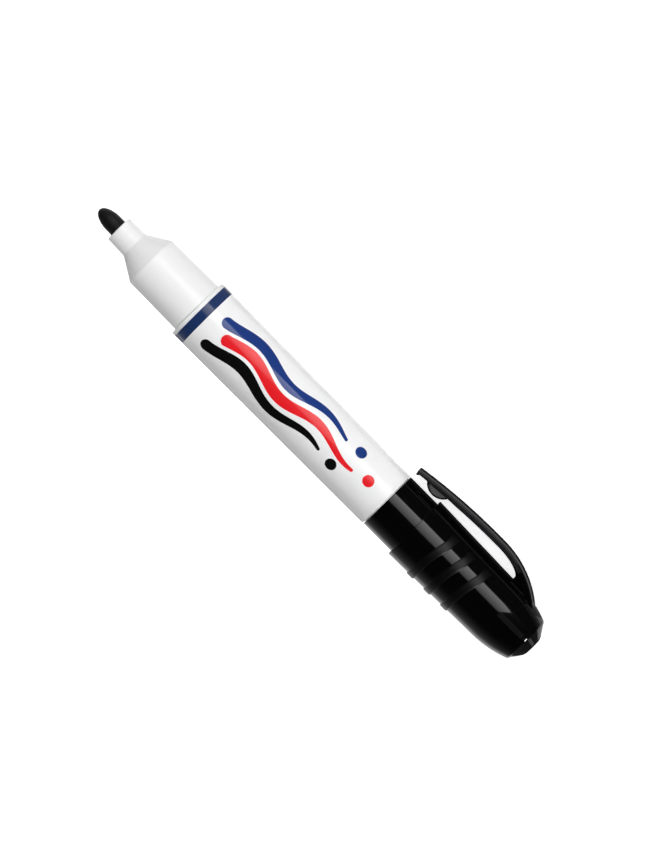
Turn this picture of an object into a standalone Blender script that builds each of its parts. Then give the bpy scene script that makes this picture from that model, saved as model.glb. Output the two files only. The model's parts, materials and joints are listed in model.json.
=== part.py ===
"""Bullet-tip permanent marker, lying at rest with its cap posted on the tail.

The marker's own axis runs along X, nib towards +X. Stations along the barrel are
measured from the barrel's front rim, stations along the cap from the cap's mouth.
Every length is in metres.
"""
import math

import bmesh
import bpy
from mathutils import Vector

# Driving dimensions: nose section and nib
NOSE_DIAMETER = 0.01375
NOSE_LENGTH = 0.0149
NOSE_DRAFT = 0.00015
NOSE_WALL = 0.0011
NOSE_EDGE_FILLET = 0.0008
SPIGOT_LENGTH = 0.009
SNAP_BEAD_HEIGHT = 0.00015
SNAP_BEAD_WIDTH = 0.0012
SNAP_BEAD_STATION = 0.0045
CONE_LENGTH = 0.0053
NECK_LENGTH = 0.0052
NECK_WALL = 0.00103
NECK_DRAFT = 0.00017
NECK_LIP_FILLET = 0.0004
NIB_DIAMETER = 0.0044
NIB_EXPOSED = 0.0062
NIB_STRAIGHT = 0.0017
NIB_IN_CORE = 0.0068
NIB_REAR_POINT = 0.0014
NIB_REAR_DIAMETER = 0.0016
NIB_CLEARANCE = 0.0001

# Driving dimensions: barrel, label and ink core
BARREL_LENGTH = 0.0611
BARREL_WALL = 0.001045
BARREL_DRAFT = 0.0004
BARREL_EDGE_FILLET = 0.0003
RIM_WIDTH = 0.00065
REAR_RIM_WIDTH = 0.0006
SHOULDER_WALL = 0.0013
TAIL_LENGTH = 0.014
TAIL_DRAFT = 0.00012
TAIL_WALL = 0.00105
TAIL_FLOOR = 0.0014
TAIL_END_FILLET = 0.0012
PRESS_CLEARANCE = 0.00008
SEAT_GAP = 0.0003
LABEL_THICKNESS = 0.00012
FILM_GAP = 0.00005
WRAP_THICKNESS = 0.0001
CORE_CLEARANCE = 0.00015
CORE_EDGE_CHAMFER = 0.0005

# Driving dimensions: cap and seal cup
CAP_LENGTH = 0.047
CAP_CLEARANCE = 0.0001
CAP_MOUTH_GAP = 0.00025
SKIRT_LENGTH = 0.00875
SKIRT_WALL = 0.00055
SKIRT_EDGE_FILLET = 0.0002
CAP_STEP = 0.00085
CAP_STEP_FILLET = 0.00025
CAP_TAPER = 0.0222
CROWN_START = 0.0353
CROWN_RADIUS = 0.028
CROWN_LENGTH = 0.0094
CAP_END_DIAMETER = 0.0048
CAP_END_EDGE_FILLET = 0.0006
CAP_WALL = 0.0013
CAP_END_WALL = 0.0017
SEAL_LEDGE = 0.0007
SEAL_FLANGE = 0.0013
SEAL_WALL = 0.0009
SEAL_SQUEEZE = 0.00005
SEAL_LEAD_IN = 0.0004
SEAL_NIB_ROOM = 0.0022
CONE_CLEARANCE = 0.0004

# Driving dimensions: grip ribs
RIB_COUNT = 3
RIB_FIRST = 0.0158
RIB_PITCH = 0.00525
RIB_WIDTH = 0.0023
RIB_HEIGHT = 0.0003
RIB_EDGE = 0.00035
RIB_ROOT = 0.0003
RIB_JOG = 0.0012
RIB_START_ANGLE = math.radians(36)
RIB_JOG_FROM_ANGLE = math.radians(45)
RIB_JOG_TO_ANGLE = math.radians(108)

# Driving dimensions: pocket clip
CLIP_WIDTH = 0.005
CLIP_THICKNESS = 0.00125
CLIP_TIP_THICKNESS = 0.0007
CLIP_TIP_STATION = 0.0001
CLIP_LIP_LENGTH = 0.0009
CLIP_LIP_DEPTH = 0.0004
CLIP_TAPER_STATION = 0.012
CLIP_APEX_STATION = 0.0235
CLIP_BEND_STATION = 0.0255
CLIP_ROOT_END_STATION = 0.0415
CLIP_ROOT_SINK = 0.0008
CLIP_REACH = 0.004
CLIP_TIP_DROP = 0.00185
CLIP_ROOT_STATION = 0.0328
CLIP_ROOT_REACH = 0.0084
CLIP_ROOT_DROP = 0.0025
CLIP_FLEX_STATION = 0.0296
CLIP_FLEX_GAP = 0.0003
CLIP_EDGE_BEVEL = 0.00015
CLIP_BUMP_STATION = 0.0062
CLIP_BUMP_LENGTH = 0.0064
CLIP_BUMP_DEPTH = 0.0018
CLIP_BUMP_WIDTH = 0.0042
CLIP_WEB_WIDTH = 0.0042

# Facets round every turned piece, points on each fillet and on each long curve, the angles past which
# an edge is shaded sharp and is bevelled, and the most of a side that a fillet may take
SEGMENTS = 40
FILLET_STEPS = 3
CURVE_STEPS = 8
MERGE_DISTANCE = 1e-7
SHARP_ANGLE = math.radians(35)
BEVEL_ANGLE = math.radians(60)
LONGEST_FILLET_SHARE = 0.45

# Radii that follow from the fits
nose_radius = NOSE_DIAMETER / 2
nose_front_radius = nose_radius - NOSE_DRAFT
nib_radius = NIB_DIAMETER / 2
neck_bore_radius = nib_radius + NIB_CLEARANCE
neck_front_radius = neck_bore_radius + NECK_WALL
neck_base_radius = neck_front_radius + NECK_DRAFT
socket_radius = nose_radius + PRESS_CLEARANCE
label_recess = LABEL_THICKNESS + FILM_GAP
barrel_front_radius = socket_radius + BARREL_WALL
barrel_rear_radius = barrel_front_radius - BARREL_DRAFT
bore_front_radius = socket_radius - BARREL_WALL / 2
bore_rear_radius = barrel_rear_radius - label_recess - BARREL_WALL
tail_radius = nose_radius
tail_end_radius = tail_radius - TAIL_DRAFT
core_bore_radius = tail_end_radius - TAIL_WALL
wrap_radius = core_bore_radius - CORE_CLEARANCE
core_radius = wrap_radius - WRAP_THICKNESS - FILM_GAP
cap_bore_radius = nose_radius + CAP_CLEARANCE
skirt_radius = cap_bore_radius + SKIRT_WALL
cap_step_radius = skirt_radius + CAP_STEP
seal_bore_radius = neck_base_radius - SEAL_SQUEEZE
seal_tube_radius = seal_bore_radius + SEAL_WALL

# Stations along the barrel, from its front rim, nib positive
neck_base_station = NOSE_LENGTH + CONE_LENGTH
neck_front_station = neck_base_station + NECK_LENGTH
nib_tip_station = neck_front_station + NIB_EXPOSED
tail_end_station = -BARREL_LENGTH - TAIL_LENGTH
core_rear_station = tail_end_station + TAIL_FLOOR + SEAT_GAP
cap_mouth_station = -BARREL_LENGTH - CAP_MOUTH_GAP

# Stations along the cap, from its mouth, end positive
seal_mouth_station = neck_base_station + CONE_CLEARANCE - CAP_MOUTH_GAP
seal_ledge_station = seal_mouth_station + SEAL_FLANGE + SEAT_GAP
seal_floor_station = seal_mouth_station + NECK_LENGTH + NIB_EXPOSED + SEAL_NIB_ROOM


def cap_radius(station):
    """Radius of the cap's drafted body at a station behind its step."""
    return cap_step_radius - CAP_TAPER * (station - SKIRT_LENGTH)


def crown_radius(station):
    """Radius of the cap's crown, an arc tangent to the drafted body."""
    start_tilt = math.asin(CAP_TAPER)
    arc_station = CROWN_START - CROWN_RADIUS * math.sin(start_tilt)
    arc_centre = cap_radius(CROWN_START) - CROWN_RADIUS * math.cos(start_tilt)
    return arc_centre + math.sqrt(CROWN_RADIUS**2 - (station - arc_station)**2)


def clip_top(station):
    """Height of the clip's outer face above the axis, from its tip to where it dives into the crown."""
    apex = cap_step_radius + CLIP_REACH
    if station < CLIP_APEX_STATION:
        share = (CLIP_APEX_STATION - station) / (CLIP_APEX_STATION - CLIP_TIP_STATION)
        return apex - CLIP_TIP_DROP * share**2
    if station < CLIP_BEND_STATION:
        return apex
    bend_length = CLIP_ROOT_END_STATION - CLIP_BEND_STATION
    bend_drop = apex - crown_radius(CLIP_ROOT_END_STATION) + CLIP_ROOT_SINK
    bend_radius = (bend_length**2 + bend_drop**2) / (2 * bend_drop)
    return apex - bend_radius + math.sqrt(bend_radius**2 - (station - CLIP_BEND_STATION)**2)


def clip_underside(station):
    """Height of the strip's inner face: it thins towards the clip's tip."""
    share = (station - CLIP_TIP_STATION) / (CLIP_TAPER_STATION - CLIP_TIP_STATION)
    thickening = (CLIP_THICKNESS - CLIP_TIP_THICKNESS) * min(1.0, share)
    return clip_top(station) - CLIP_TIP_THICKNESS - thickening


def web_underside(station):
    """Height of the root web's arched front edge, a quarter ellipse from the strip down to the cap."""
    arch_start = CLIP_ROOT_STATION - CLIP_ROOT_REACH
    share = (station - arch_start) / CLIP_ROOT_REACH
    return clip_underside(arch_start) - CLIP_ROOT_DROP * (1 - math.sqrt(1 - min(1.0, share)**2))


def spaced(start, end, steps):
    """Evenly spaced values from start to end, both included."""
    return [start + (end - start) * step / steps for step in range(steps + 1)]


def rounded(corners):
    """Corners (x, r, fillet) as points, with a tangent arc in place of each filleted corner."""
    points = []
    for index, (x, r, fillet) in enumerate(corners):
        here = Vector((x, r))
        if fillet == 0:
            points.append(here)
            continue
        to_last = Vector(corners[index - 1][:2]) - here
        to_next = Vector(corners[(index + 1) % len(corners)][:2]) - here
        half_angle = to_last.angle(to_next) / 2
        longest = min(to_last.length, to_next.length) * LONGEST_FILLET_SHARE
        reach = min(fillet / math.tan(half_angle), longest)
        radius = reach * math.tan(half_angle)
        inward = (to_last.normalized() + to_next.normalized()).normalized()
        centre = here + inward * radius / math.sin(half_angle)
        first = here + to_last.normalized() * reach - centre
        last = here + to_next.normalized() * reach - centre
        for share in spaced(0, 1, FILLET_STEPS):
            points.append(centre + first.lerp(last, share).normalized() * radius)
    return points


def plastic(name, colour, roughness):
    """Plain Principled material with one colour."""
    material = bpy.data.materials.new(name)
    material.use_nodes = True
    shader = material.node_tree.nodes["Principled BSDF"]
    shader.inputs["Base Color"].default_value = (*colour, 1)
    shader.inputs["Roughness"].default_value = roughness
    shader.inputs["Metallic"].default_value = 0
    return material


def placed(name, shape, parent, material=None):
    """Turn a bmesh into a smooth-shaded object under its parent. No material: a hidden form."""
    bmesh.ops.recalc_face_normals(shape, faces=shape.faces)
    mesh = bpy.data.meshes.new(name)
    shape.to_mesh(mesh)
    shape.free()
    mesh.shade_smooth()
    mesh.set_sharp_from_angle(angle=SHARP_ANGLE)
    piece = bpy.data.objects.new(name, mesh)
    bpy.context.collection.objects.link(piece)
    piece.parent = parent
    if material:
        mesh.materials.append(material)
    else:
        piece.hide_render = True
        piece.display_type = "WIRE"
    return piece


def turned(name, profile, parent, material=None):
    """Solid of revolution about the marker's axis. A profile clear of the axis closes on itself."""
    shape = bmesh.new()
    verts = [shape.verts.new((x, 0, r)) for x, r in profile]
    ring = verts[1:] + verts[:1] if min(r for x, r in profile) > 0 else verts[1:]
    edges = [shape.edges.new(pair) for pair in zip(verts, ring)]
    bmesh.ops.spin(
        shape, geom=verts + edges, cent=(0, 0, 0), axis=(1, 0, 0), angle=math.tau,
        steps=SEGMENTS, use_merge=True,
    )
    bmesh.ops.remove_doubles(shape, verts=shape.verts, dist=MERGE_DISTANCE)
    return placed(name, shape, parent, material)


def prism(name, outline, width, parent, material=None):
    """Outline in the clip's plane, extruded evenly to both sides of it."""
    shape = bmesh.new()
    face = shape.faces.new([shape.verts.new((x, -width / 2, z)) for x, z in outline])
    swept = bmesh.ops.extrude_face_region(shape, geom=[face])
    moved = [item for item in swept["geom"] if isinstance(item, bmesh.types.BMVert)]
    bmesh.ops.translate(shape, verts=moved, vec=(0, width, 0))
    return placed(name, shape, parent, material)


def boolean(piece, operation, form):
    """Join a hidden form to a piece, or cut it out of the piece."""
    modifier = piece.modifiers.new(f"{operation.lower()} {form.name}", "BOOLEAN")
    modifier.operation = operation
    modifier.solver = "EXACT"
    modifier.object = form


def empty(name, parent, location, roll=0):
    """Empty that carries pieces: a place on the axis and a roll about it."""
    carrier = bpy.data.objects.new(name, None)
    bpy.context.collection.objects.link(carrier)
    carrier.parent = parent
    carrier.location = location
    carrier.rotation_euler = (roll, 0, 0)
    return carrier


def rest_carrier():
    """Axis of the marker as it lies: its ribs and the clip's edge on the table, centred on the origin."""
    axis_height = max(barrel_front_radius, cap_step_radius, cap_radius(RIB_FIRST) + RIB_HEIGHT)
    clip_height = clip_top(CLIP_APEX_STATION)
    clip_corner = math.hypot(clip_height, CLIP_WIDTH / 2)
    corner_angle = math.atan2(CLIP_WIDTH / 2, clip_height)
    clip_dip = math.asin(axis_height / clip_corner) - corner_angle
    clip_side = clip_corner * math.cos(clip_dip - corner_angle)
    along = -(nib_tip_station + cap_mouth_station - CAP_LENGTH) / 2
    across = (clip_side - axis_height) / 2
    return empty("marker_axis", None, (along, across, axis_height), math.pi / 2 + clip_dip)


def make_barrel(axis):
    """Tube with a label recess outside, and a nose socket with a snap groove, a bore and a tail inside."""
    half_bead = SNAP_BEAD_WIDTH / 2
    groove_radius = socket_radius + SNAP_BEAD_HEIGHT
    draft = BARREL_DRAFT / BARREL_LENGTH
    socket_end = -SPIGOT_LENGTH - SEAT_GAP
    label_rear = REAR_RIM_WIDTH - BARREL_LENGTH
    profile = rounded([
        (0, socket_radius, 0),
        (0, barrel_front_radius, BARREL_EDGE_FILLET),
        (-RIM_WIDTH, barrel_front_radius - draft * RIM_WIDTH, 0),
        (-RIM_WIDTH, barrel_front_radius - draft * RIM_WIDTH - label_recess, 0),
        (label_rear, barrel_front_radius + draft * label_rear - label_recess, 0),
        (label_rear, barrel_front_radius + draft * label_rear, 0),
        (-BARREL_LENGTH, barrel_rear_radius, BARREL_EDGE_FILLET / 2),
        (-BARREL_LENGTH, tail_radius, 0),
        (tail_end_station, tail_end_radius, TAIL_END_FILLET),
        (tail_end_station, 0, 0),
        (tail_end_station + TAIL_FLOOR, 0, 0),
        (tail_end_station + TAIL_FLOOR, core_bore_radius, 0),
        (-BARREL_LENGTH + SHOULDER_WALL, core_bore_radius, 0),
        (-BARREL_LENGTH + SHOULDER_WALL, bore_rear_radius, 0),
        (socket_end, bore_front_radius, 0),
        (socket_end, socket_radius, 0),
        (-SNAP_BEAD_STATION - half_bead, socket_radius, 0),
        (-SNAP_BEAD_STATION, groove_radius, 0),
        (-SNAP_BEAD_STATION + half_bead, socket_radius, 0),
    ])
    white = plastic("barrel_white", (0.86, 0.86, 0.85), 0.35)
    split = next(index for index, point in enumerate(profile) if point.y == 0)
    turned("barrel", profile[split + 1:] + profile[:split + 1], axis, white)


def make_nose(axis):
    """Hollow nose: spigot with a snap bead, drafted cylinder, cone, and a neck bored for the nib.

    Returns the station where its bore begins to narrow, which the ink core stops at.
    """
    half_bead = SNAP_BEAD_WIDTH / 2
    cone_slope = (nose_front_radius - neck_base_radius) / CONE_LENGTH
    radial_wall = NOSE_WALL * math.hypot(1, cone_slope)
    bore_at_cone = nose_front_radius - radial_wall
    cone_bore_start = NOSE_LENGTH - (core_bore_radius - bore_at_cone) / cone_slope
    cone_bore_end = NOSE_LENGTH + (bore_at_cone - neck_bore_radius) / cone_slope
    profile = rounded([
        (-SPIGOT_LENGTH, nose_radius, BARREL_EDGE_FILLET),
        (-SPIGOT_LENGTH, core_bore_radius, 0),
        (cone_bore_start, core_bore_radius, 0),
        (cone_bore_end, neck_bore_radius, 0),
        (neck_front_station, neck_bore_radius, 0),
        (neck_front_station, neck_front_radius, NECK_LIP_FILLET),
        (neck_base_station, neck_base_radius, NOSE_EDGE_FILLET),
        (NOSE_LENGTH, nose_front_radius, NOSE_EDGE_FILLET),
        (0, nose_radius, 0),
        (-SNAP_BEAD_STATION + half_bead, nose_radius, 0),
        (-SNAP_BEAD_STATION, nose_radius + SNAP_BEAD_HEIGHT, 0),
        (-SNAP_BEAD_STATION - half_bead, nose_radius, 0),
    ])
    turned("nose_section", profile, axis, plastic("nose_white", (0.84, 0.84, 0.83), 0.38))
    return cone_bore_start


def make_nib(axis, core_front):
    """Bullet nib: elliptic tip, straight stem through the neck, blunt point buried in the ink core.

    Returns the station of its rear end.
    """
    bullet_start = neck_front_station + NIB_STRAIGHT
    bullet_length = nib_tip_station - bullet_start
    rear = core_front - NIB_IN_CORE
    profile = [
        (rear, 0),
        (rear, NIB_REAR_DIAMETER / 2),
        (rear + NIB_REAR_POINT, nib_radius),
    ]
    for turn in spaced(0, math.pi / 2, CURVE_STEPS)[:-1]:
        profile.append((bullet_start + bullet_length * math.sin(turn), nib_radius * math.cos(turn)))
    profile.append((nib_tip_station, 0))
    turned("nib", profile, axis, plastic("nib_felt", (0.012, 0.012, 0.013), 0.9))
    return rear


def make_core(axis, core_front, nib_rear):
    """Ink-soaked fibre rod with a socket for the nib's stem, in a thin film sleeve."""
    socket = nib_radius + NIB_CLEARANCE
    profile = [
        (core_rear_station, 0),
        (core_rear_station, core_radius - CORE_EDGE_CHAMFER),
        (core_rear_station + CORE_EDGE_CHAMFER, core_radius),
        (core_front - CORE_EDGE_CHAMFER, core_radius),
        (core_front, core_radius - CORE_EDGE_CHAMFER),
        (core_front, socket),
        (nib_rear + NIB_REAR_POINT - NIB_CLEARANCE, socket),
        (nib_rear - SEAT_GAP, NIB_REAR_DIAMETER / 2 + NIB_CLEARANCE),
        (nib_rear - SEAT_GAP, 0),
    ]
    turned("ink_core", profile, axis, plastic("ink_fibre", (0.03, 0.03, 0.04), 0.95))
    wrap = [
        (core_rear_station + CORE_EDGE_CHAMFER, core_radius + FILM_GAP),
        (core_rear_station + CORE_EDGE_CHAMFER, wrap_radius),
        (core_front - CORE_EDGE_CHAMFER, wrap_radius),
        (core_front - CORE_EDGE_CHAMFER, core_radius + FILM_GAP),
    ]
    turned("core_wrap", wrap, axis, plastic("core_film", (0.55, 0.56, 0.58), 0.3))


def make_label(axis):
    """Film wrapped round the barrel, lying in the barrel's recess and flush with its rims."""
    draft = BARREL_DRAFT / BARREL_LENGTH
    front = -RIM_WIDTH - FILM_GAP
    rear = -BARREL_LENGTH + REAR_RIM_WIDTH + FILM_GAP
    outer_front = barrel_front_radius + draft * front
    outer_rear = barrel_front_radius + draft * rear
    profile = [
        (front, outer_front - LABEL_THICKNESS),
        (front, outer_front),
        (rear, outer_rear),
        (rear, outer_rear - LABEL_THICKNESS),
    ]
    turned("label", profile, axis, plastic("label_film", (0.87, 0.87, 0.87), 0.25))


def cap_outer_profile():
    """Outside of the cap from the centre of its mouth to the centre of its end."""
    crown_end = CROWN_START + CROWN_LENGTH
    crown = [(-station, crown_radius(station), 0) for station in spaced(CROWN_START, crown_end, CURVE_STEPS)]
    return rounded([
        (0, 0, 0),
        (0, skirt_radius, SKIRT_EDGE_FILLET),
        (-SKIRT_LENGTH, skirt_radius, 0),
        (-SKIRT_LENGTH, cap_step_radius, CAP_STEP_FILLET),
        *crown[:-1],
        (-crown_end, crown_radius(crown_end), CAP_END_EDGE_FILLET),
        (-CAP_LENGTH, CAP_END_DIAMETER / 2, CAP_END_EDGE_FILLET),
        (-CAP_LENGTH, 0, 0),
    ])


def cap_hollow_profile():
    """Inside of the cap: bore for nose or tail, ledge for the seal cup, hollow crown."""
    inner_radius = cap_bore_radius - SEAL_LEDGE
    hollow_end = CAP_LENGTH - CAP_END_WALL
    return [
        (SEAT_GAP, 0),
        (SEAT_GAP, cap_bore_radius + SEAT_GAP + SKIRT_EDGE_FILLET),
        (-SKIRT_EDGE_FILLET, cap_bore_radius),
        (-seal_ledge_station, cap_bore_radius),
        (-seal_ledge_station, inner_radius),
        (-CROWN_START, min(inner_radius, cap_radius(CROWN_START) - CAP_WALL)),
        (-hollow_end, CAP_END_DIAMETER / 2),
        (-hollow_end, 0),
    ]


def rib_form(number, carrier):
    """One C-shaped grip rib: a low band round the cap, open at the clip, with an S-shaped jog.

    Its two ends sink just under the cap's surface.
    """
    foot = RIB_WIDTH / 2 + RIB_EDGE * RIB_ROOT / RIB_HEIGHT
    crest = RIB_WIDTH / 2 - RIB_EDGE
    section = [
        (-foot, -RIB_ROOT),
        (-crest, RIB_HEIGHT),
        (crest, RIB_HEIGHT),
        (foot, -RIB_ROOT),
    ]
    end_sink = RIB_ROOT / 3
    shape = bmesh.new()
    loops = []
    for angle in spaced(RIB_START_ANGLE, math.tau - RIB_START_ANGLE, SEGMENTS):
        from_clip = min(angle, math.tau - angle)
        share = (RIB_JOG_TO_ANGLE - from_clip) / (RIB_JOG_TO_ANGLE - RIB_JOG_FROM_ANGLE)
        share = max(0.0, min(1.0, share))
        centre = RIB_FIRST + RIB_PITCH * number + RIB_JOG * share**2 * (3 - 2 * share)
        at_end = from_clip <= RIB_START_ANGLE + MERGE_DISTANCE
        loop = []
        for along, height in section:
            height = min(height, -end_sink) if at_end else height
            radius = cap_radius(centre + along) + height
            place = (-centre - along, -radius * math.sin(angle), radius * math.cos(angle))
            loop.append(shape.verts.new(place))
        loops.append(loop)
    corners = range(len(section))
    for loop, following in zip(loops, loops[1:]):
        for corner in corners:
            beside = (corner + 1) % len(section)
            shape.faces.new((loop[corner], loop[beside], following[beside], following[corner]))
    shape.faces.new(loops[0])
    shape.faces.new(loops[-1])
    return placed(f"grip_rib_form_{number + 1}", shape, carrier)


def clip_root_forms(carrier):
    """Root of the clip: the strip running on into the crown, over a narrower web that stands on it."""
    face = CLIP_FLEX_STATION + CLIP_FLEX_GAP / 2
    foot = CAP_END_DIAMETER
    strip_stations = spaced(face, CLIP_ROOT_END_STATION, CURVE_STEPS)
    strip = [(-station, clip_underside(station)) for station in strip_stations]
    strip += [(-station, clip_top(station)) for station in reversed(strip_stations)]
    web = [(-station, web_underside(station)) for station in spaced(face, CLIP_ROOT_STATION, CURVE_STEPS)]
    web += [(-CLIP_ROOT_STATION, foot), (-CLIP_ROOT_END_STATION, foot)]
    web += [(-station, clip_top(station) - CLIP_THICKNESS / 2) for station in reversed(strip_stations)]
    return [
        prism("clip_strip_form", strip, CLIP_WIDTH, carrier),
        prism("clip_web_form", web, CLIP_WEB_WIDTH, carrier),
    ]


def make_cap(carrier, black):
    """Cap shell: turned outside, clip root and ribs joined on, then the hollow cut out."""
    shell = turned("cap_shell", cap_outer_profile(), carrier, black)
    for form in clip_root_forms(carrier):
        boolean(shell, "UNION", form)
    for number in range(RIB_COUNT):
        boolean(shell, "UNION", rib_form(number, carrier))
    boolean(shell, "DIFFERENCE", turned("cap_hollow_form", cap_hollow_profile(), carrier))


def make_seal_cup(carrier):
    """Soft inner cup: flange on the cap's ledge, tube that closes on the neck, blind end round the nib."""
    flange_radius = cap_bore_radius - CAP_CLEARANCE
    flange_end = seal_mouth_station + SEAL_FLANGE
    profile = [
        (-seal_floor_station, 0),
        (-seal_floor_station, seal_bore_radius),
        (-seal_mouth_station - SEAL_LEAD_IN, seal_bore_radius),
        (-seal_mouth_station, seal_bore_radius + SEAL_LEAD_IN),
        (-seal_mouth_station, flange_radius),
        (-flange_end, flange_radius),
        (-flange_end, seal_tube_radius),
        (-seal_floor_station - SEAL_WALL, seal_tube_radius),
        (-seal_floor_station - SEAL_WALL, 0),
    ]
    turned("seal_cup", profile, carrier, plastic("seal_natural", (0.72, 0.73, 0.72), 0.5))


def clip_arm_outline(rear):
    """Side of the arched strip from its tip, with a small lip under it, to where it flexes."""
    lip_height = clip_underside(CLIP_TIP_STATION) - CLIP_LIP_DEPTH
    under_stations = spaced(CLIP_TIP_STATION + CLIP_LIP_LENGTH, rear, 2 * CURVE_STEPS)
    bend_stations = spaced(rear, CLIP_BEND_STATION, CURVE_STEPS // 2)
    arch_stations = spaced(CLIP_APEX_STATION, CLIP_TIP_STATION, CURVE_STEPS)
    return [
        (-CLIP_TIP_STATION, lip_height),
        (-CLIP_TIP_STATION - CLIP_LIP_LENGTH / 2, lip_height),
        *[(-station, clip_underside(station)) for station in under_stations],
        *[(-station, clip_top(station)) for station in bend_stations + arch_stations],
    ]


def clip_bump_outline():
    """Side of the half-round bump: an arc under the strip, closed inside the strip."""
    half_length = CLIP_BUMP_LENGTH / 2
    radius = (half_length**2 + CLIP_BUMP_DEPTH**2) / (2 * CLIP_BUMP_DEPTH)
    sweep = math.asin(half_length / radius)
    centre = clip_underside(CLIP_BUMP_STATION) - CLIP_BUMP_DEPTH + radius
    outline = []
    for turn in spaced(-sweep, sweep, CURVE_STEPS):
        along = CLIP_BUMP_STATION + radius * math.sin(turn)
        outline.append((-along, centre - radius * math.cos(turn)))
    for station in (CLIP_BUMP_STATION + half_length, CLIP_BUMP_STATION - half_length):
        outline.append((-station, clip_top(station) - CLIP_TIP_THICKNESS / 2))
    return outline


def clip_web_outline(rear):
    """Side of the narrower web under the strip, from where its arch begins to where the clip flexes."""
    stations = spaced(CLIP_ROOT_STATION - CLIP_ROOT_REACH, rear, CURVE_STEPS)
    outline = [(-station, web_underside(station)) for station in stations]
    outline += [(-station, clip_top(station) - CLIP_THICKNESS / 2) for station in reversed(stations)]
    return outline


def make_clip(carrier, black):
    """Clip arm: arched strip with a half-round bump and a narrower web, its origin where it flexes."""
    rear = CLIP_FLEX_STATION - CLIP_FLEX_GAP / 2
    pivot = Vector((-CLIP_FLEX_STATION, clip_top(CLIP_FLEX_STATION)))

    def clip_prism(name, outline, width, material=None):
        piece = prism(name, [Vector(point) - pivot for point in outline], width, carrier, material)
        piece.location = (pivot.x, 0, pivot.y)
        return piece

    arm = clip_prism("pocket_clip", clip_arm_outline(rear), CLIP_WIDTH, black)
    bevel = arm.modifiers.new("edge_round", "BEVEL")
    bevel.width = CLIP_EDGE_BEVEL
    bevel.segments = 1
    bevel.limit_method = "ANGLE"
    bevel.angle_limit = BEVEL_ANGLE
    boolean(arm, "UNION", clip_prism("clip_bump_form", clip_bump_outline(), CLIP_BUMP_WIDTH))
    boolean(arm, "UNION", clip_prism("clip_arm_web_form", clip_web_outline(rear), CLIP_WEB_WIDTH))


def build_marker():
    """Clear the scene, then build every piece on the marker's axis."""
    for leftover in list(bpy.data.objects):
        bpy.data.objects.remove(leftover)
    axis = rest_carrier()
    make_barrel(axis)
    core_front = make_nose(axis) - SEAT_GAP
    nib_rear = make_nib(axis, core_front)
    make_core(axis, core_front, nib_rear)
    make_label(axis)
    cap_carrier = empty("cap_carrier", axis, (cap_mouth_station, 0, 0))
    black = plastic("cap_black", (0.008, 0.008, 0.009), 0.12)
    make_cap(cap_carrier, black)
    make_seal_cup(cap_carrier)
    make_clip(cap_carrier, black)


build_marker()
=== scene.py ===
import json
import math

import bmesh
import bpy
from mathutils import Matrix, Vector


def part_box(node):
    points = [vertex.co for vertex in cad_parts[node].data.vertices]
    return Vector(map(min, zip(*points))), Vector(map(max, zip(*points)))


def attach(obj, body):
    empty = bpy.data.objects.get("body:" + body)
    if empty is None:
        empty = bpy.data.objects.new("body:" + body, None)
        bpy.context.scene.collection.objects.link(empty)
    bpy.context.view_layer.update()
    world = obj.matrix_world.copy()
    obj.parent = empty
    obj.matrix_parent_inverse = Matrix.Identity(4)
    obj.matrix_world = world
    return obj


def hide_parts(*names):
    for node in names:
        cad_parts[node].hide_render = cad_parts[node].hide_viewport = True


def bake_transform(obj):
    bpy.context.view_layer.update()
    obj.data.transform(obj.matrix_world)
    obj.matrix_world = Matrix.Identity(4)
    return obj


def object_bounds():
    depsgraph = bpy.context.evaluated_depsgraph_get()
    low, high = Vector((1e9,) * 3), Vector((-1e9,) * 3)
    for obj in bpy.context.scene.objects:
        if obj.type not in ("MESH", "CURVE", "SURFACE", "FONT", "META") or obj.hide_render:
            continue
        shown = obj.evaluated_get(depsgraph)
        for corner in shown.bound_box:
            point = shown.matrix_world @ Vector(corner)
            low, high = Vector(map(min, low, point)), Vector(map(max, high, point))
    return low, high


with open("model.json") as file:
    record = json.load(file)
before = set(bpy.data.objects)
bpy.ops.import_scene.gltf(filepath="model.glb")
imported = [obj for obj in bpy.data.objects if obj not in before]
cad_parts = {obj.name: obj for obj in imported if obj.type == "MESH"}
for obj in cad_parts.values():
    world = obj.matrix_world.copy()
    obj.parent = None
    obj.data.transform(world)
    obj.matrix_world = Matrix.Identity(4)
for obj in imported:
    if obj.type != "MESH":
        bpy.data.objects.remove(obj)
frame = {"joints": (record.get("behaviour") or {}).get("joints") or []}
cad_low, cad_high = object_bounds()

# Barrel
# The white tube that holds the ink, with a label recess between two low rims and a stepped tail
# that the cap is posted on. Polypropylene, injection-moulded with a slight draft, closed at the tail.
nib_low, nib_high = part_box("nib")
barrel_low, barrel_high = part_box("barrel")
flex_joint = next(joint for joint in frame["joints"] if joint["name"] == "clip_flex")
along_axis = Vector((1, 0, 0))
clip_lateral = -Vector(flex_joint["axis"]).normalized()
clip_outward = along_axis.cross(clip_lateral)
axis_point = Vector((0, (nib_low.y + nib_high.y) / 2, (nib_low.z + nib_high.z) / 2))
marker_axes = Matrix((along_axis, clip_lateral, clip_outward)).transposed().to_4x4()
marker_to_frame = Matrix.Translation(axis_point) @ marker_axes

facets_round = 192
fillet_steps = 6
flat_holder = 0.00004

rim_x = barrel_high.x
tail_x = barrel_low.x
barrel_length = 0.0611
rear_x = rim_x - barrel_length
rim_radius = 0.008
rear_radius = 0.0076
rim_width = 0.00065
rear_rim_width = 0.0006
label_recess = 0.00017
socket_radius = 0.006955
socket_depth = 0.0093
bore_front_radius = 0.0064325
bore_rear_radius = 0.006385
core_bore_radius = 0.005705
shoulder_wall = 0.0013
tail_radius = 0.006875
tail_end_radius = 0.006755
tail_floor = 0.0014
tail_fillet = 0.0012
rim_fillet = 0.00025
barrel_draft = (rim_radius - rear_radius) / barrel_length


def spaced(start, end, steps):
    """Evenly spaced values from start to end, both included."""
    return [start + (end - start) * step / steps for step in range(steps + 1)]


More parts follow.
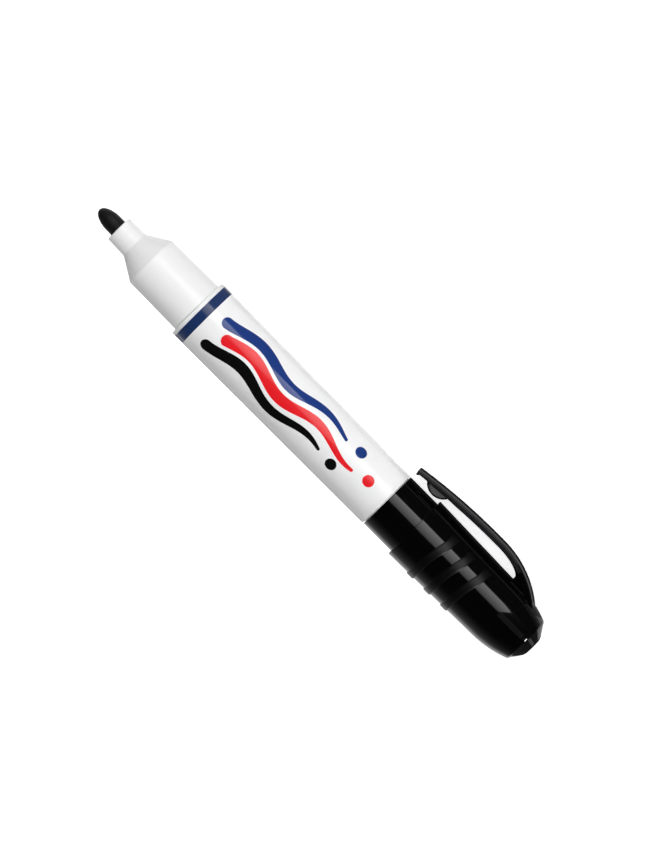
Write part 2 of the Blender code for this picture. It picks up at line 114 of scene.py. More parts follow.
def rounded(corners):
    """Profile through corners (x, r, fillet): arcs at the filleted ones, with a point close to each
    end of an arc and of a straight run, so that long faces keep their own flat shading."""
    fillet_limit = 0.45
    holder_limit = 0.05
    points = []
    for index, (x, r, fillet) in enumerate(corners):
        here = Vector((x, r))
        to_last = Vector(corners[index - 1][:2]) - here
        to_next = Vector(corners[(index + 1) % len(corners)][:2]) - here
        if fillet == 0:
            points.append(here)
            continue
        half_angle = to_last.angle(to_next) / 2
        longest = min(to_last.length, to_next.length) * fillet_limit
        reach = min(fillet / math.tan(half_angle), longest)
        radius = reach * math.tan(half_angle)
        inward = (to_last.normalized() + to_next.normalized()).normalized()
        centre = here + inward * radius / math.sin(half_angle)
        first = here + to_last.normalized() * reach
        last = here + to_next.normalized() * reach
        points.append(first + to_last.normalized() * min(flat_holder, to_last.length * holder_limit))
        for share in spaced(0, 1, fillet_steps):
            points.append(centre + (first - centre).lerp(last - centre, share).normalized() * radius)
        points.append(last + to_next.normalized() * min(flat_holder, to_next.length * holder_limit))
    return points


def finished(name, shape, material, body, *nodes):
    """Piece in its place on the marker's axis, shaded smooth with crisp corners, riding on its body."""
    sharp_corner = math.radians(40)
    mesh = bpy.data.meshes.new(name)
    shape.to_mesh(mesh)
    shape.free()
    mesh.transform(marker_to_frame)
    mesh.shade_smooth()
    mesh.set_sharp_from_angle(angle=sharp_corner)
    mesh.materials.append(material)
    piece = bpy.data.objects.new(name, mesh)
    bpy.context.scene.collection.objects.link(piece)
    if body:
        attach(piece, body)
    if nodes:
        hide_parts(*nodes)
    return piece


def turned(profile):
    """Solid turned about the marker's axis, with a map on it: u runs along the profile, and v round
    the axis from the clip."""
    shape = bmesh.new()
    turns = [math.tau * facet / facets_round for facet in range(facets_round)]
    rings = []
    for x, r in profile:
        if r > 0:
            rings.append([shape.verts.new((x, r * math.sin(turn), r * math.cos(turn))) for turn in turns])
        else:
            rings.append([shape.verts.new((x, 0, 0))] * facets_round)
    solid_core = min(r for x, r in profile) <= 0
    runs = len(profile) - 1 if solid_core else len(profile)
    film_map = shape.loops.layers.uv.new("turned_map")
    for run in range(runs):
        ring, beside = rings[run], rings[(run + 1) % len(rings)]
        for facet in range(facets_round):
            around = (facet + 1) % facets_round
            corners = [
                (ring[facet], run, facet),
                (ring[around], run, facet + 1),
                (beside[around], run + 1, facet + 1),
                (beside[facet], run + 1, facet),
            ]
            unlike = [corner for place, corner in enumerate(corners)
                      if corner[0] is not corners[place - 1][0]]
            face = shape.faces.new([corner[0] for corner in unlike])
            for loop, (_, u_step, v_step) in zip(face.loops, unlike):
                loop[film_map].uv = (u_step / runs, v_step / facets_round)
    bmesh.ops.recalc_face_normals(shape, faces=shape.faces)
    return shape


def noise_field(tree, size, detail=3.0, stretch=(1, 1, 1)):
    """Noise on the piece's own coordinates, with features of about the given size in metres."""
    place = tree.nodes.new("ShaderNodeTexCoord")
    mapping = tree.nodes.new("ShaderNodeMapping")
    mapping.inputs["Scale"].default_value = stretch
    noise = tree.nodes.new("ShaderNodeTexNoise")
    noise.inputs["Scale"].default_value = 1 / size
    noise.inputs["Detail"].default_value = detail
    tree.links.new(place.outputs["Object"], mapping.inputs["Vector"])
    tree.links.new(mapping.outputs["Vector"], noise.inputs["Vector"])
    return noise.outputs["Fac"]


def ranged(tree, value, low, high):
    """Noise, which mostly lies between two middle values, spread from low to high."""
    noise_low = 0.3
    noise_high = 0.7
    spread = tree.nodes.new("ShaderNodeMapRange")
    spread.inputs["From Min"].default_value = noise_low
    spread.inputs["From Max"].default_value = noise_high
    spread.inputs["To Min"].default_value = low
    spread.inputs["To Max"].default_value = high
    tree.links.new(value, spread.inputs["Value"])
    return spread.outputs["Result"]


def feed(tree, socket, value):
    """Link a socket to another one, or set it to a number, a vector or a colour."""
    if isinstance(value, bpy.types.NodeSocket):
        tree.links.new(value, socket)
    elif socket.type == "RGBA":
        socket.default_value = (*value, 1)
    else:
        socket.default_value = value


def mixed(tree, share, first, second):
    """Colour between two colours or sockets, by a share from 0 to 1."""
    mix = tree.nodes.new("ShaderNodeMix")
    mix.data_type = "RGBA"
    feed(tree, mix.inputs["Factor"], share)
    feed(tree, mix.inputs["A"], first)
    feed(tree, mix.inputs["B"], second)
    return mix.outputs["Result"]


def grained(tree, shader, height, depth):
    """Fine relief on a surface, depth in metres."""
    bump = tree.nodes.new("ShaderNodeBump")
    bump.inputs["Distance"].default_value = depth
    bump.inputs["Strength"].default_value = 1
    tree.links.new(height, bump.inputs["Height"])
    tree.links.new(bump.outputs["Normal"], shader.inputs["Normal"])


def new_finish(name):
    """Plain finish, with its node tree and its shader."""
    material = bpy.data.materials.new(name)
    material.use_nodes = True
    return material, material.node_tree, material.node_tree.nodes["Principled BSDF"]


def moulded_plastic(name, light, dark, gloss_rough, worn_rough, grain_size, grain_depth):
    """Moulded plastic: faint flow mottling, uneven gloss from handling, and the mould's fine grain."""
    mottle_size = 0.004
    handling_size = 0.0015
    handling_detail = 4.0
    plastic_ior = 1.49
    material, tree, shader = new_finish(name)
    shader.inputs["IOR"].default_value = plastic_ior
    tree.links.new(mixed(tree, noise_field(tree, mottle_size), dark, light), shader.inputs["Base Color"])
    rough = ranged(tree, noise_field(tree, handling_size, handling_detail), gloss_rough, worn_rough)
    tree.links.new(rough, shader.inputs["Roughness"])
    grained(tree, shader, noise_field(tree, grain_size), grain_depth)
    return material


barrel_profile = rounded([
    (tail_x + tail_floor, 0, 0),
    (tail_x + tail_floor, core_bore_radius, 0),
    (rear_x + shoulder_wall, core_bore_radius, 0),
    (rear_x + shoulder_wall, bore_rear_radius, 0),
    (rim_x - socket_depth, bore_front_radius, 0),
    (rim_x - socket_depth, socket_radius, 0),
    (rim_x, socket_radius, 0),
    (rim_x, rim_radius, rim_fillet),
    (rim_x - rim_width, rim_radius - barrel_draft * rim_width, 0),
    (rim_x - rim_width, rim_radius - barrel_draft * rim_width - label_recess, 0),
    (rear_x + rear_rim_width, rear_radius + barrel_draft * rear_rim_width - label_recess, 0),
    (rear_x + rear_rim_width, rear_radius + barrel_draft * rear_rim_width, 0),
    (rear_x, rear_radius, rim_fillet / 2),
    (rear_x, tail_radius, 0),
    (tail_x, tail_end_radius, tail_fillet),
    (tail_x, 0, 0),
])
barrel_white = moulded_plastic(
    "barrel_white", light=(0.87, 0.87, 0.865), dark=(0.85, 0.85, 0.845),
    gloss_rough=0.295, worn_rough=0.305, grain_size=0.0004, grain_depth=0.0000003)
barrel = finished("barrel_tube", turned(barrel_profile), barrel_white, "barrel", "barrel")

# Ink core and its film sleeve
# The reservoir: a rod of pressed fibre, soaked with ink, in a thin film that keeps it off the barrel.
# It drops into the barrel before the nose closes it, and the nib's stem is pressed into its front.
fibre_dark = (0.006, 0.006, 0.008)
fibre_light = (0.05, 0.05, 0.06)
fibre_rough = 0.95
fibre_size = 0.0004
fibre_detail = 4.0
fibre_stretch = (0.06, 1, 1)
fibre_relief = 0.00004
core_fibre, core_tree, core_shader = new_finish("ink_fibre")
core_fibres = noise_field(core_tree, fibre_size, fibre_detail, fibre_stretch)
core_colour = mixed(core_tree, core_fibres, fibre_dark, fibre_light)
core_tree.links.new(core_colour, core_shader.inputs["Base Color"])
core_shader.inputs["Roughness"].default_value = fibre_rough
grained(core_tree, core_shader, core_fibres, fibre_relief)
wrap_film = moulded_plastic(
    "core_film", light=(0.58, 0.59, 0.61), dark=(0.5, 0.51, 0.53),
    gloss_rough=0.25, worn_rough=0.4, grain_size=0.0006, grain_depth=0.000004)

core_low, core_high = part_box("ink_core")
wrap_low, wrap_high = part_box("core_wrap")
core_chamfer = 0.0005
wrap_clearance = 0.00005
core_radius = (core_high.y - core_low.y) / 2
wrap_radius = (wrap_high.y - wrap_low.y) / 2
wrap_bore_radius = core_radius + wrap_clearance
stem_socket_radius = 0.0023
stem_socket_end_radius = 0.0009
stem_rear_x = nib_low.x
stem_point = 0.0014
core = finished("ink_core_rod", turned(rounded([
    (core_low.x, 0, 0),
    (core_low.x, core_radius, core_chamfer),
    (core_high.x, core_radius, core_chamfer),
    (core_high.x, stem_socket_radius, 0),
    (stem_rear_x + stem_point, stem_socket_radius, 0),
    (stem_rear_x - core_chamfer / 2, stem_socket_end_radius, 0),
    (stem_rear_x - core_chamfer / 2, 0, 0),
])), core_fibre, "barrel", "ink_core")
sleeve = finished("core_sleeve", turned([
    Vector((wrap_low.x, wrap_bore_radius)),
    Vector((wrap_low.x, wrap_radius)),
    Vector((wrap_high.x, wrap_radius)),
    Vector((wrap_high.x, wrap_bore_radius)),
]), wrap_film, "barrel", "core_wrap")

# Nib
# The writing tip: a rod of dense black felt, ground to a bullet shape and soaked with ink.
# It is pushed through the nose's neck until its stem sits in the ink core.
nib_radius = (nib_high.y - nib_low.y) / 2
neck_reach = 0.0254
nib_shank = 0.0017
neck_front_x = rim_x + neck_reach
bullet_x = neck_front_x + nib_shank
bullet_length = nib_high.x - bullet_x
bullet_steps = 24
stem_end_radius = 0.0008
felt_dark = (0.0006, 0.0006, 0.0006)
felt_light = (0.008, 0.008, 0.008)
felt_rough = 0.65
felt_worn = 0.42
felt_gloss = 0.38
felt_size = 0.0004
felt_detail = 5.0
felt_stretch = (0.35, 1, 1)
felt_relief = 0.00004
nib_profile = [
    Vector((stem_rear_x, 0)),
    Vector((stem_rear_x, stem_end_radius)),
    Vector((stem_rear_x + stem_point, nib_radius)),
    Vector((bullet_x - flat_holder, nib_radius)),
]
for turn in spaced(0, math.pi / 2, bullet_steps)[:-1]:
    nib_profile.append(Vector((bullet_x + bullet_length * math.sin(turn), nib_radius * math.cos(turn))))
nib_profile.append(Vector((nib_high.x, 0)))

nib_felt, felt_tree, felt_shader = new_finish("nib_felt")
felt_fibres = noise_field(felt_tree, felt_size, felt_detail, felt_stretch)
felt_tree.links.new(mixed(felt_tree, felt_fibres, felt_dark, felt_light), felt_shader.inputs["Base Color"])
felt_tree.links.new(ranged(felt_tree, felt_fibres, felt_rough, felt_worn), felt_shader.inputs["Roughness"])
felt_shader.inputs["Specular IOR Level"].default_value = felt_gloss
grained(felt_tree, felt_shader, felt_fibres, felt_relief)
nib = finished("bullet_nib", turned(nib_profile), nib_felt, "barrel", "nib")

# Nose section
# The white front end: a drafted cylinder that the cap grips, a cone and a neck bored for the nib.
# Moulded polypropylene, pressed into the barrel by its spigot and held there by a snap bead.
nose_radius = 0.006875
nose_front_radius = 0.006725
nose_length = 0.0149
cone_length = 0.0053
neck_base_radius = 0.0035
neck_front_radius = 0.00333
neck_bore_radius = 0.0023
spigot_length = 0.009
spigot_fillet = 0.0003
snap_bead_place = 0.0045
snap_bead_height = 0.00015
snap_bead_half = 0.0006
cone_bore_start = 0.0005
cone_bore_end = 0.0003
cone_fillet = 0.0008
neck_rim_fillet = 0.0003
neck_bore_fillet = 0.0001
snap_bead_x = rim_x - snap_bead_place
cone_x = rim_x + nose_length
neck_x = cone_x + cone_length
nose_profile = rounded([
    (rim_x - spigot_length, nose_radius, spigot_fillet),
    (rim_x - spigot_length, core_bore_radius, 0),
    (cone_x - cone_bore_start, core_bore_radius, 0),
    (neck_x - cone_bore_end, neck_bore_radius, 0),
    (neck_front_x, neck_bore_radius, neck_bore_fillet),
    (neck_front_x, neck_front_radius, neck_rim_fillet),
    (neck_x, neck_base_radius, cone_fillet),
    (cone_x, nose_front_radius, cone_fillet),
    (rim_x, nose_radius, 0),
    (snap_bead_x + snap_bead_half, nose_radius, 0),
    (snap_bead_x, nose_radius + snap_bead_height, 0),
    (snap_bead_x - snap_bead_half, nose_radius, 0),
])
nose_white = moulded_plastic(
    "nose_white", light=(0.87, 0.87, 0.87), dark=(0.85, 0.85, 0.85),
    gloss_rough=0.295, worn_rough=0.305, grain_size=0.0004, grain_depth=0.0000003)
nose = finished("nose_section_moulding", turned(nose_profile), nose_white, "barrel", "nose_section")

# Label
# A glossy white film wrapped round the barrel in its recess, flush with both rims.
# Printed with a plain navy band at the front and three wavy pen strokes in blue, red and black.
label_low, label_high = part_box("label")
label_thickness = 0.00012
label_front_radius = rim_radius - barrel_draft * (rim_x - label_high.x)
label_rear_radius = rim_radius - barrel_draft * (rim_x - label_low.x)
label_shape = turned(rounded([
    (label_high.x, label_front_radius - label_thickness, 0),
    (label_high.x, label_front_radius, 0),
    (label_low.x, label_rear_radius, 0),
    (label_low.x, label_rear_radius - label_thickness, 0),
]))

sight_from_clip = math.radians(78.2)
print_radius = (label_front_radius + label_rear_radius) / 2
print_softness = 0.00004
film_white_low = (0.87, 0.87, 0.875)
film_white_high = (0.9, 0.9, 0.905)
film_mottle_size = 0.005
film_ior = 1.5
film_gloss = 0.07
film_worn = 0.12
film_worn_size = 0.002
film_worn_detail = 4.0
film_wave_size = 0.003
film_wave_depth = 0.000002
navy = (0.012, 0.032, 0.115)
ink_blue = (0.008, 0.036, 0.2)
ink_red = (0.8, 0.013, 0.02)
ink_black = (0.004, 0.004, 0.004)
band_front = 0.00025
band_width = 0.00235
stroke_half_width = 0.00142
stroke_spacing = 0.0036
strokes = [
    (ink_blue, 0.0068, 0.0375, -stroke_spacing),
    (ink_red, 0.0095, 0.0405, 0.0),
    (ink_black, 0.0068, 0.0345, stroke_spacing),
]
dabs = [
    (ink_blue, 0.0488, -stroke_spacing),
    (ink_red, 0.0545, 0.0),
    (ink_black, 0.0458, stroke_spacing),
]


def maths(tree, operation, first, second=0.0, third=0.0):
    """One Math node; its values are numbers or sockets."""
    node = tree.nodes.new("ShaderNodeMath")
    node.operation = operation
    for socket, value in zip(node.inputs, (first, second, third)):
        feed(tree, socket, value)
    return node.outputs["Value"]


def hypotenuse(tree, first, second):
    """Length of the diagonal over two sides."""
    squares = [maths(tree, "MULTIPLY", side, side) for side in (first, second)]
    return maths(tree, "SQRT", maths(tree, "ADD", *squares))


def within(tree, distance, half_width):
    """1 where a distance is below the half width, with a soft printed edge."""
    edge_middle = 0.5
    edge = maths(tree, "DIVIDE", maths(tree, "SUBTRACT", half_width, distance), 2 * print_softness)
    clamp = tree.nodes.new("ShaderNodeClamp")
    feed(tree, clamp.inputs["Value"], maths(tree, "ADD", edge, edge_middle))
    return clamp.outputs["Result"]


def pen_stroke(tree, along, across, start, length, offset, half_width):
    """Mask of one wavy pen stroke along the film, full at its start and drawn out thin at its end."""
    wave_length = 0.0215
    wave_height = 0.00115
    end_share = 0.3
    thinning_power = 3.0
    inside = maths(tree, "MINIMUM", maths(tree, "MAXIMUM", along, start), start + length)
    beyond = maths(tree, "SUBTRACT", along, inside)
    phase = maths(tree, "MULTIPLY", inside, math.tau / wave_length)
    wave = maths(tree, "MULTIPLY_ADD", maths(tree, "SINE", phase), wave_height, offset)
    distance = hypotenuse(tree, maths(tree, "SUBTRACT", across, wave), beyond)
    drawn = maths(tree, "DIVIDE", maths(tree, "SUBTRACT", inside, start), length)
    drawn_out = maths(tree, "POWER", drawn, thinning_power)
    thinning = maths(tree, "MULTIPLY_ADD", drawn_out, end_share - 1, 1.0)
    return within(tree, distance, maths(tree, "MULTIPLY", thinning, half_width))


def dab(tree, along, across, place, offset, radius):
    """Mask of one round dab of ink."""
    aside = maths(tree, "SUBTRACT", across, offset)
    ahead = maths(tree, "SUBTRACT", along, place)
    return within(tree, hypotenuse(tree, aside, ahead), radius)


label_film, film_tree, film_shader = new_finish("label_film")
film_place = film_tree.nodes.new("ShaderNodeTexCoord")
film_xyz = film_tree.nodes.new("ShaderNodeSeparateXYZ")
film_uv = film_tree.nodes.new("ShaderNodeSeparateXYZ")
film_tree.links.new(film_place.outputs["Object"], film_xyz.inputs["Vector"])
film_tree.links.new(film_place.outputs["UV"], film_uv.inputs["Vector"])
film_along = maths(film_tree, "SUBTRACT", label_high.x, film_xyz.outputs["X"])
film_across = maths(film_tree, "MULTIPLY_ADD", film_uv.outputs["Y"], math.tau * print_radius,
                    -sight_from_clip * print_radius)
printed = mixed(film_tree, noise_field(film_tree, film_mottle_size), film_white_low, film_white_high)
band_middle = band_front + band_width / 2
band_distance = maths(film_tree, "ABSOLUTE", maths(film_tree, "SUBTRACT", film_along, band_middle))
printed = mixed(film_tree, within(film_tree, band_distance, band_width / 2), printed, navy)
for colour, start, length, offset in strokes:
    mask = pen_stroke(film_tree, film_along, film_across, start, length, offset, stroke_half_width)
    printed = mixed(film_tree, mask, printed, colour)
for colour, place, offset in dabs:
    mask = dab(film_tree, film_along, film_across, place, offset, stroke_half_width)
    printed = mixed(film_tree, mask, printed, colour)
film_tree.links.new(printed, film_shader.inputs["Base Color"])
film_shader.inputs["IOR"].default_value = film_ior
film_handling = noise_field(film_tree, film_worn_size, film_worn_detail)
film_rough = ranged(film_tree, film_handling, film_gloss, film_worn)
film_tree.links.new(film_rough, film_shader.inputs["Roughness"])
grained(film_tree, film_shader, noise_field(film_tree, film_wave_size), film_wave_depth)
label = finished("printed_label", label_shape, label_film, "barrel", "label")

# Seal cup
# The soft inner cup that closes on the neck and keeps the nib from drying when the marker is capped.
# Natural polyethylene, pressed into the cap until its flange meets the cap's inner ledge.
seal_low, seal_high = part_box("seal_cup")
seal_bore_radius = 0.00345
seal_tube_radius = 0.00435
seal_flange_radius = (seal_high.y - seal_low.y) / 2
seal_flange = 0.0013
seal_floor_wall = 0.0009
seal_bore_fillet = 0.0004
seal_flange_fillet = 0.0001
seal_end_fillet = 0.0005
seal_natural = moulded_plastic(
    "seal_natural", light=(0.74, 0.75, 0.74), dark=(0.66, 0.67, 0.66),
    gloss_rough=0.42, worn_rough=0.55, grain_size=0.0003, grain_depth=0.000003)
seal = finished("seal_cup_moulding", turned(rounded([
    (seal_low.x + seal_floor_wall, 0, 0),
    (seal_low.x + seal_floor_wall, seal_bore_radius, seal_bore_fillet),
    (seal_high.x, seal_bore_radius, seal_bore_fillet),
    (seal_high.x, seal_flange_radius, seal_flange_fillet),
    (seal_high.x - seal_flange, seal_flange_radius, seal_flange_fillet),
    (seal_high.x - seal_flange, seal_tube_radius, 0),
    (seal_low.x, seal_tube_radius, seal_end_fillet),
    (seal_low.x, 0, 0),
])), seal_natural, "cap", "seal_cup")

# Cap shell
# The black cap: a thin skirt, a step, a drafted body and a crown that ends in a small flat.
# High-gloss polypropylene, moulded in one with its ribs and clip, and here posted on the tail.
cap_low, cap_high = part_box("cap_shell")
mouth_x = cap_high.x
skirt_radius = 0.007525
skirt_length = 0.00875
cap_step_radius = 0.008375
cap_taper = 0.0222
crown_start = 0.0353
crown_curve = 0.028
crown_length = 0.0094
crown_shoulder = 0.0009
shoulder_run = 0.0008
cap_end_radius = 0.0024
cap_bore_radius = 0.006975
cap_ledge_radius = 0.006275
cap_end_wall = 0.0017
ledge_clearance = 0.0003
mouth_fillet = 0.00015
skirt_root_fillet = 0.00008
step_fillet = 0.00005
cap_end_fillet = 0.0022
crown_steps = 40
ledge_x = seal_high.x - seal_flange - ledge_clearance


def cap_radius(station):
    """Radius of the drafted body, at a station measured from the cap's mouth."""
    return cap_step_radius - cap_taper * (station - skirt_length)


def crown_radius(station):
    """Radius of the crown, an arc tangent to the drafted body."""
    tilt = math.asin(cap_taper)
    middle = crown_start - crown_curve * math.sin(tilt)
    centre = cap_radius(crown_start) - crown_curve * math.cos(tilt)
    return centre + math.sqrt(crown_curve**2 - (station - middle)**2)


crown_end = crown_start + crown_length
crown_stations = spaced(crown_start, crown_end - shoulder_run, crown_steps)
crown = [(mouth_x - station, crown_radius(station), 0) for station in crown_stations]
cap_profile = rounded([
    (cap_low.x + cap_end_wall, 0, 0),
    (cap_low.x + cap_end_wall, cap_end_radius, 0),
    (mouth_x - crown_start, cap_ledge_radius, 0),
    (ledge_x, cap_ledge_radius, 0),
    (ledge_x, cap_bore_radius, 0),
    (mouth_x, cap_bore_radius, mouth_fillet),
    (mouth_x, skirt_radius, mouth_fillet),
    (mouth_x - skirt_length, skirt_radius, skirt_root_fillet),
    (mouth_x - skirt_length, cap_step_radius, step_fillet),
    *crown,
    (mouth_x - crown_end, crown_radius(crown_end), crown_shoulder),
    (cap_low.x, cap_end_radius, cap_end_fillet),
    (cap_low.x, 0, 0),
])
cap_black = moulded_plastic(
    "cap_black", light=(0.0014, 0.0014, 0.0015), dark=(0.0009, 0.0009, 0.001),
    gloss_rough=0.05, worn_rough=0.075, grain_size=0.002, grain_depth=0.0000006)
cap = finished("cap_moulding", turned(cap_profile), cap_black, "cap", "cap_shell")

# Grip ribs
# Three low bands round the cap for the fingers, open at the clip, with an S-shaped jog beside it.
# They are moulded with the cap and left satin by the grain of the mould.
rib_gloss = 0.33
rib_path_steps = 300
rib_edge_steps = 6
rib_satin = moulded_plastic(
    "rib_satin", light=(0.0018, 0.0018, 0.0019), dark=(0.0012, 0.0012, 0.0013),
    gloss_rough=0.3, worn_rough=0.4, grain_size=0.00012, grain_depth=0.000002)
rib_satin.node_tree.nodes["Principled BSDF"].inputs["Specular IOR Level"].default_value = rib_gloss
rib_sizes = {
    "Count": 3,
    "First Station": 0.0158,
    "Pitch": 0.00525,
    "Width": 0.0023,
    "Height": 0.0003,
    "Root": 0.0004,
    "Edge": 0.0003,
    "Edge Round": 0.00035,
    "Jog": 0.0012,
    "Start Angle": math.radians(36),
    "Jog From": math.radians(45),
    "Jog To": math.radians(108),
    "End Ramp": math.radians(7),
    "Step Radius": cap_step_radius,
    "Step Station": skirt_length,
    "Taper": cap_taper,
    "Mouth": mouth_x,
    "Finish": rib_satin,
}
rib_tree = bpy.data.node_groups.new("grip_rib_tree", "GeometryNodeTree")
rib_tree.is_modifier = True
rib_tree.interface.new_socket("Geometry", in_out="OUTPUT", socket_type="NodeSocketGeometry")
rib_sockets = {}
for size_name, size in rib_sizes.items():
    kind = {int: "NodeSocketInt", float: "NodeSocketFloat"}.get(type(size), "NodeSocketMaterial")
    size_socket = rib_tree.interface.new_socket(size_name, in_out="INPUT", socket_type=kind)
    rib_sockets[size_name] = size_socket.identifier
rib_inputs = rib_tree.nodes.new("NodeGroupInput").outputs
rib_output = rib_tree.nodes.new("NodeGroupOutput")


def rib_node(kind, settings=None, **links):
    """One node of the rib tree, with its settings made and its inputs linked or set by name."""
    node = rib_tree.nodes.new(kind)
    for setting, value in (settings or {}).items():
        setattr(node, setting, value)
    for socket_name, value in links.items():
        feed(rib_tree, node.inputs[socket_name.replace("_", " ")], value)
    return node.outputs


def rib_maths(operation, first, second=0.0, third=0.0):
    """One Math node of the rib tree."""
    return maths(rib_tree, operation, first, second, third)


def smooth_share(value, start, end, start_share, end_share):
    """Share that goes smoothly from one value to another while a value runs from start to end."""
    return rib_node("ShaderNodeMapRange", {"interpolation_type": "SMOOTHSTEP"}, Value=value, From_Min=start,
                    From_Max=end, To_Min=start_share, To_Max=end_share)["Result"]


path_line = rib_node("GeometryNodeCurvePrimitiveLine")["Curve"]
path_points = rib_node("GeometryNodeResampleCurve", Curve=path_line, Count=rib_path_steps)["Curve"]
paths = rib_node("GeometryNodeDuplicateElements", {"domain": "SPLINE"},
                 Geometry=path_points, Amount=rib_inputs["Count"])
rib_number = paths["Duplicate Index"]
path_share = rib_node("GeometryNodeSplineParameter")["Factor"]
open_sweep = rib_maths("MULTIPLY_ADD", rib_inputs["Start Angle"], -2.0, math.tau)
turn_angle = rib_maths("MULTIPLY_ADD", path_share, open_sweep, rib_inputs["Start Angle"])
from_clip = rib_maths("MINIMUM", turn_angle, rib_maths("SUBTRACT", math.tau, turn_angle))
jog_share = smooth_share(from_clip, rib_inputs["Jog From"], rib_inputs["Jog To"], 1.0, 0.0)
rib_station = rib_maths("MULTIPLY_ADD", rib_number, rib_inputs["Pitch"], rib_inputs["First Station"])
rib_station = rib_maths("MULTIPLY_ADD", jog_share, rib_inputs["Jog"], rib_station)
from_end = rib_maths("SUBTRACT", from_clip, rib_inputs["Start Angle"])
end_rise = smooth_share(from_end, 0.0, rib_inputs["End Ramp"], 0.0, 1.0)
end_sink = rib_maths("MULTIPLY", rib_maths("SUBTRACT", 1.0, end_rise), rib_inputs["Height"])
past_step = rib_maths("SUBTRACT", rib_station, rib_inputs["Step Station"])
body_draft = rib_maths("MULTIPLY", past_step, rib_inputs["Taper"])
body_radius = rib_maths("SUBTRACT", rib_inputs["Step Radius"], body_draft)
path_radius = rib_maths("SUBTRACT", body_radius, end_sink)
turn_sine = rib_maths("SINE", turn_angle)
turn_cosine = rib_maths("COSINE", turn_angle)
path_place = rib_node("ShaderNodeCombineXYZ", X=rib_maths("SUBTRACT", rib_inputs["Mouth"], rib_station),
                      Y=rib_maths("MULTIPLY", path_radius, turn_sine),
                      Z=rib_maths("MULTIPLY", path_radius, turn_cosine))["Vector"]
outward = rib_node("ShaderNodeCombineXYZ", X=0.0, Y=turn_sine, Z=turn_cosine)["Vector"]
placed_paths = rib_node("GeometryNodeSetPosition", Geometry=paths["Geometry"],
                        Position=path_place)["Geometry"]
upright_paths = rib_node("GeometryNodeSetCurveNormal", {"mode": "FREE"}, Curve=placed_paths,
                         Normal=outward)["Curve"]
section_height = rib_maths("ADD", rib_inputs["Height"], rib_inputs["Root"])
crest_width = rib_maths("MULTIPLY_ADD", rib_inputs["Edge"], -2.0, rib_inputs["Width"])
root_share = rib_maths("DIVIDE", rib_inputs["Root"], rib_inputs["Height"])
foot_spread = rib_maths("MULTIPLY", rib_inputs["Edge"], root_share)
foot_width = rib_maths("MULTIPLY_ADD", foot_spread, 2.0, rib_inputs["Width"])
section = rib_node("GeometryNodeCurvePrimitiveQuadrilateral", {"mode": "TRAPEZOID"},
                   Height=section_height, Bottom_Width=foot_width, Top_Width=crest_width,
                   Offset=0.0)["Curve"]
soft_section = rib_node("GeometryNodeFilletCurve", {"mode": "POLY"}, Curve=section, Count=rib_edge_steps,
                        Radius=rib_inputs["Edge Round"], Limit_Radius=True)["Curve"]
above_root = rib_maths("SUBTRACT", rib_inputs["Height"], rib_inputs["Root"])
section_lift = rib_node("ShaderNodeCombineXYZ", X=rib_maths("DIVIDE", above_root, 2.0), Y=0.0,
                        Z=0.0)["Vector"]
seated_section = rib_node("GeometryNodeTransform", Geometry=soft_section, Translation=section_lift,
                          Rotation=(0, 0, -math.pi / 2))["Geometry"]
rib_mesh = rib_node("GeometryNodeCurveToMesh", Curve=upright_paths, Profile_Curve=seated_section,
                    Fill_Caps=True)["Mesh"]
rib_solid = rib_node("GeometryNodeRealizeInstances", Geometry=rib_mesh)["Geometry"]
rib_finished = rib_node("GeometryNodeSetMaterial", Geometry=rib_solid,
                        Material=rib_inputs["Finish"])["Geometry"]
rib_tree.links.new(rib_finished, rib_output.inputs["Geometry"])

rib_blank = bpy.data.objects.new("rib_blank", bpy.data.meshes.new("rib_blank"))
bpy.context.scene.collection.objects.link(rib_blank)
rib_modifier = rib_blank.modifiers.new("grip_ribs", "NODES")
rib_modifier.node_group = rib_tree
for size_name, size in rib_sizes.items():
    rib_modifier[rib_sockets[size_name]] = size
depsgraph = bpy.context.evaluated_depsgraph_get()
rib_shape = bmesh.new()
rib_shape.from_mesh(bpy.data.meshes.new_from_object(rib_blank.evaluated_get(depsgraph)))
bmesh.ops.recalc_face_normals(rib_shape, faces=rib_shape.faces)
bpy.data.objects.remove(rib_blank)
ribs = finished("grip_ribs", rib_shape, rib_satin, "cap")

# Pocket clip
# A springy arched strip, a rounded bump under its free end; glossy outside, its satin sides greyed by
# painted sheen.
# Moulded in one with the cap, over a narrower web that stands on the crown.
clip_width = 0.005
clip_thickness = 0.00125
clip_tip_thickness = 0.0007
clip_tip = 0.0001
clip_taper_end = 0.012
clip_apex = 0.0235
clip_bend = 0.0255
clip_root_end = 0.0415
clip_root_sink = 0.0008
clip_reach = 0.004
clip_tip_drop = 0.00185
clip_outer_edge = 0.0003
clip_inner_edge = 0.00015
clip_lip_length = 0.0009
clip_lip_depth = 0.0004
clip_tip_corner = 0.0004
clip_tip_round = 0.0002
clip_tip_turn = 0.1
clip_tip_steps = 8
clip_strip_steps = 160
bump_station = 0.0062
bump_length = 0.0064
bump_depth = 0.0018
bump_width = 0.0042
web_width = 0.0042
web_foot_station = 0.0328
web_reach = 0.0084
web_drop = 0.0025
bump_edge = 0.0004
bump_steps = 36
bump_back_steps = 4
web_edge = 0.0002
web_arch_steps = 40
web_back_steps = 30
gloss_finish = 0
# The bump's satin sides are a lighter grey than the cap: painted sheen.
bump_painted_sheen = 1
# The strip's satin sides are a little lighter than the cap: painted sheen.
side_painted_sheen = 2
clip_top_height = cap_step_radius + clip_reach


def clip_top(station):
    """Height of the clip's outer face above the axis: rising to the apex, then diving into the crown."""
    if station < clip_apex:
        share = (clip_apex - station) / (clip_apex - clip_tip)
        return clip_top_height - clip_tip_drop * share**2
    if station < clip_bend:
        return clip_top_height
    bend_length = clip_root_end - clip_bend
    bend_drop = clip_top_height - crown_radius(clip_root_end) + clip_root_sink
    bend_radius = (bend_length**2 + bend_drop**2) / (2 * bend_drop)
    return clip_top_height - bend_radius + math.sqrt(bend_radius**2 - (station - clip_bend)**2)


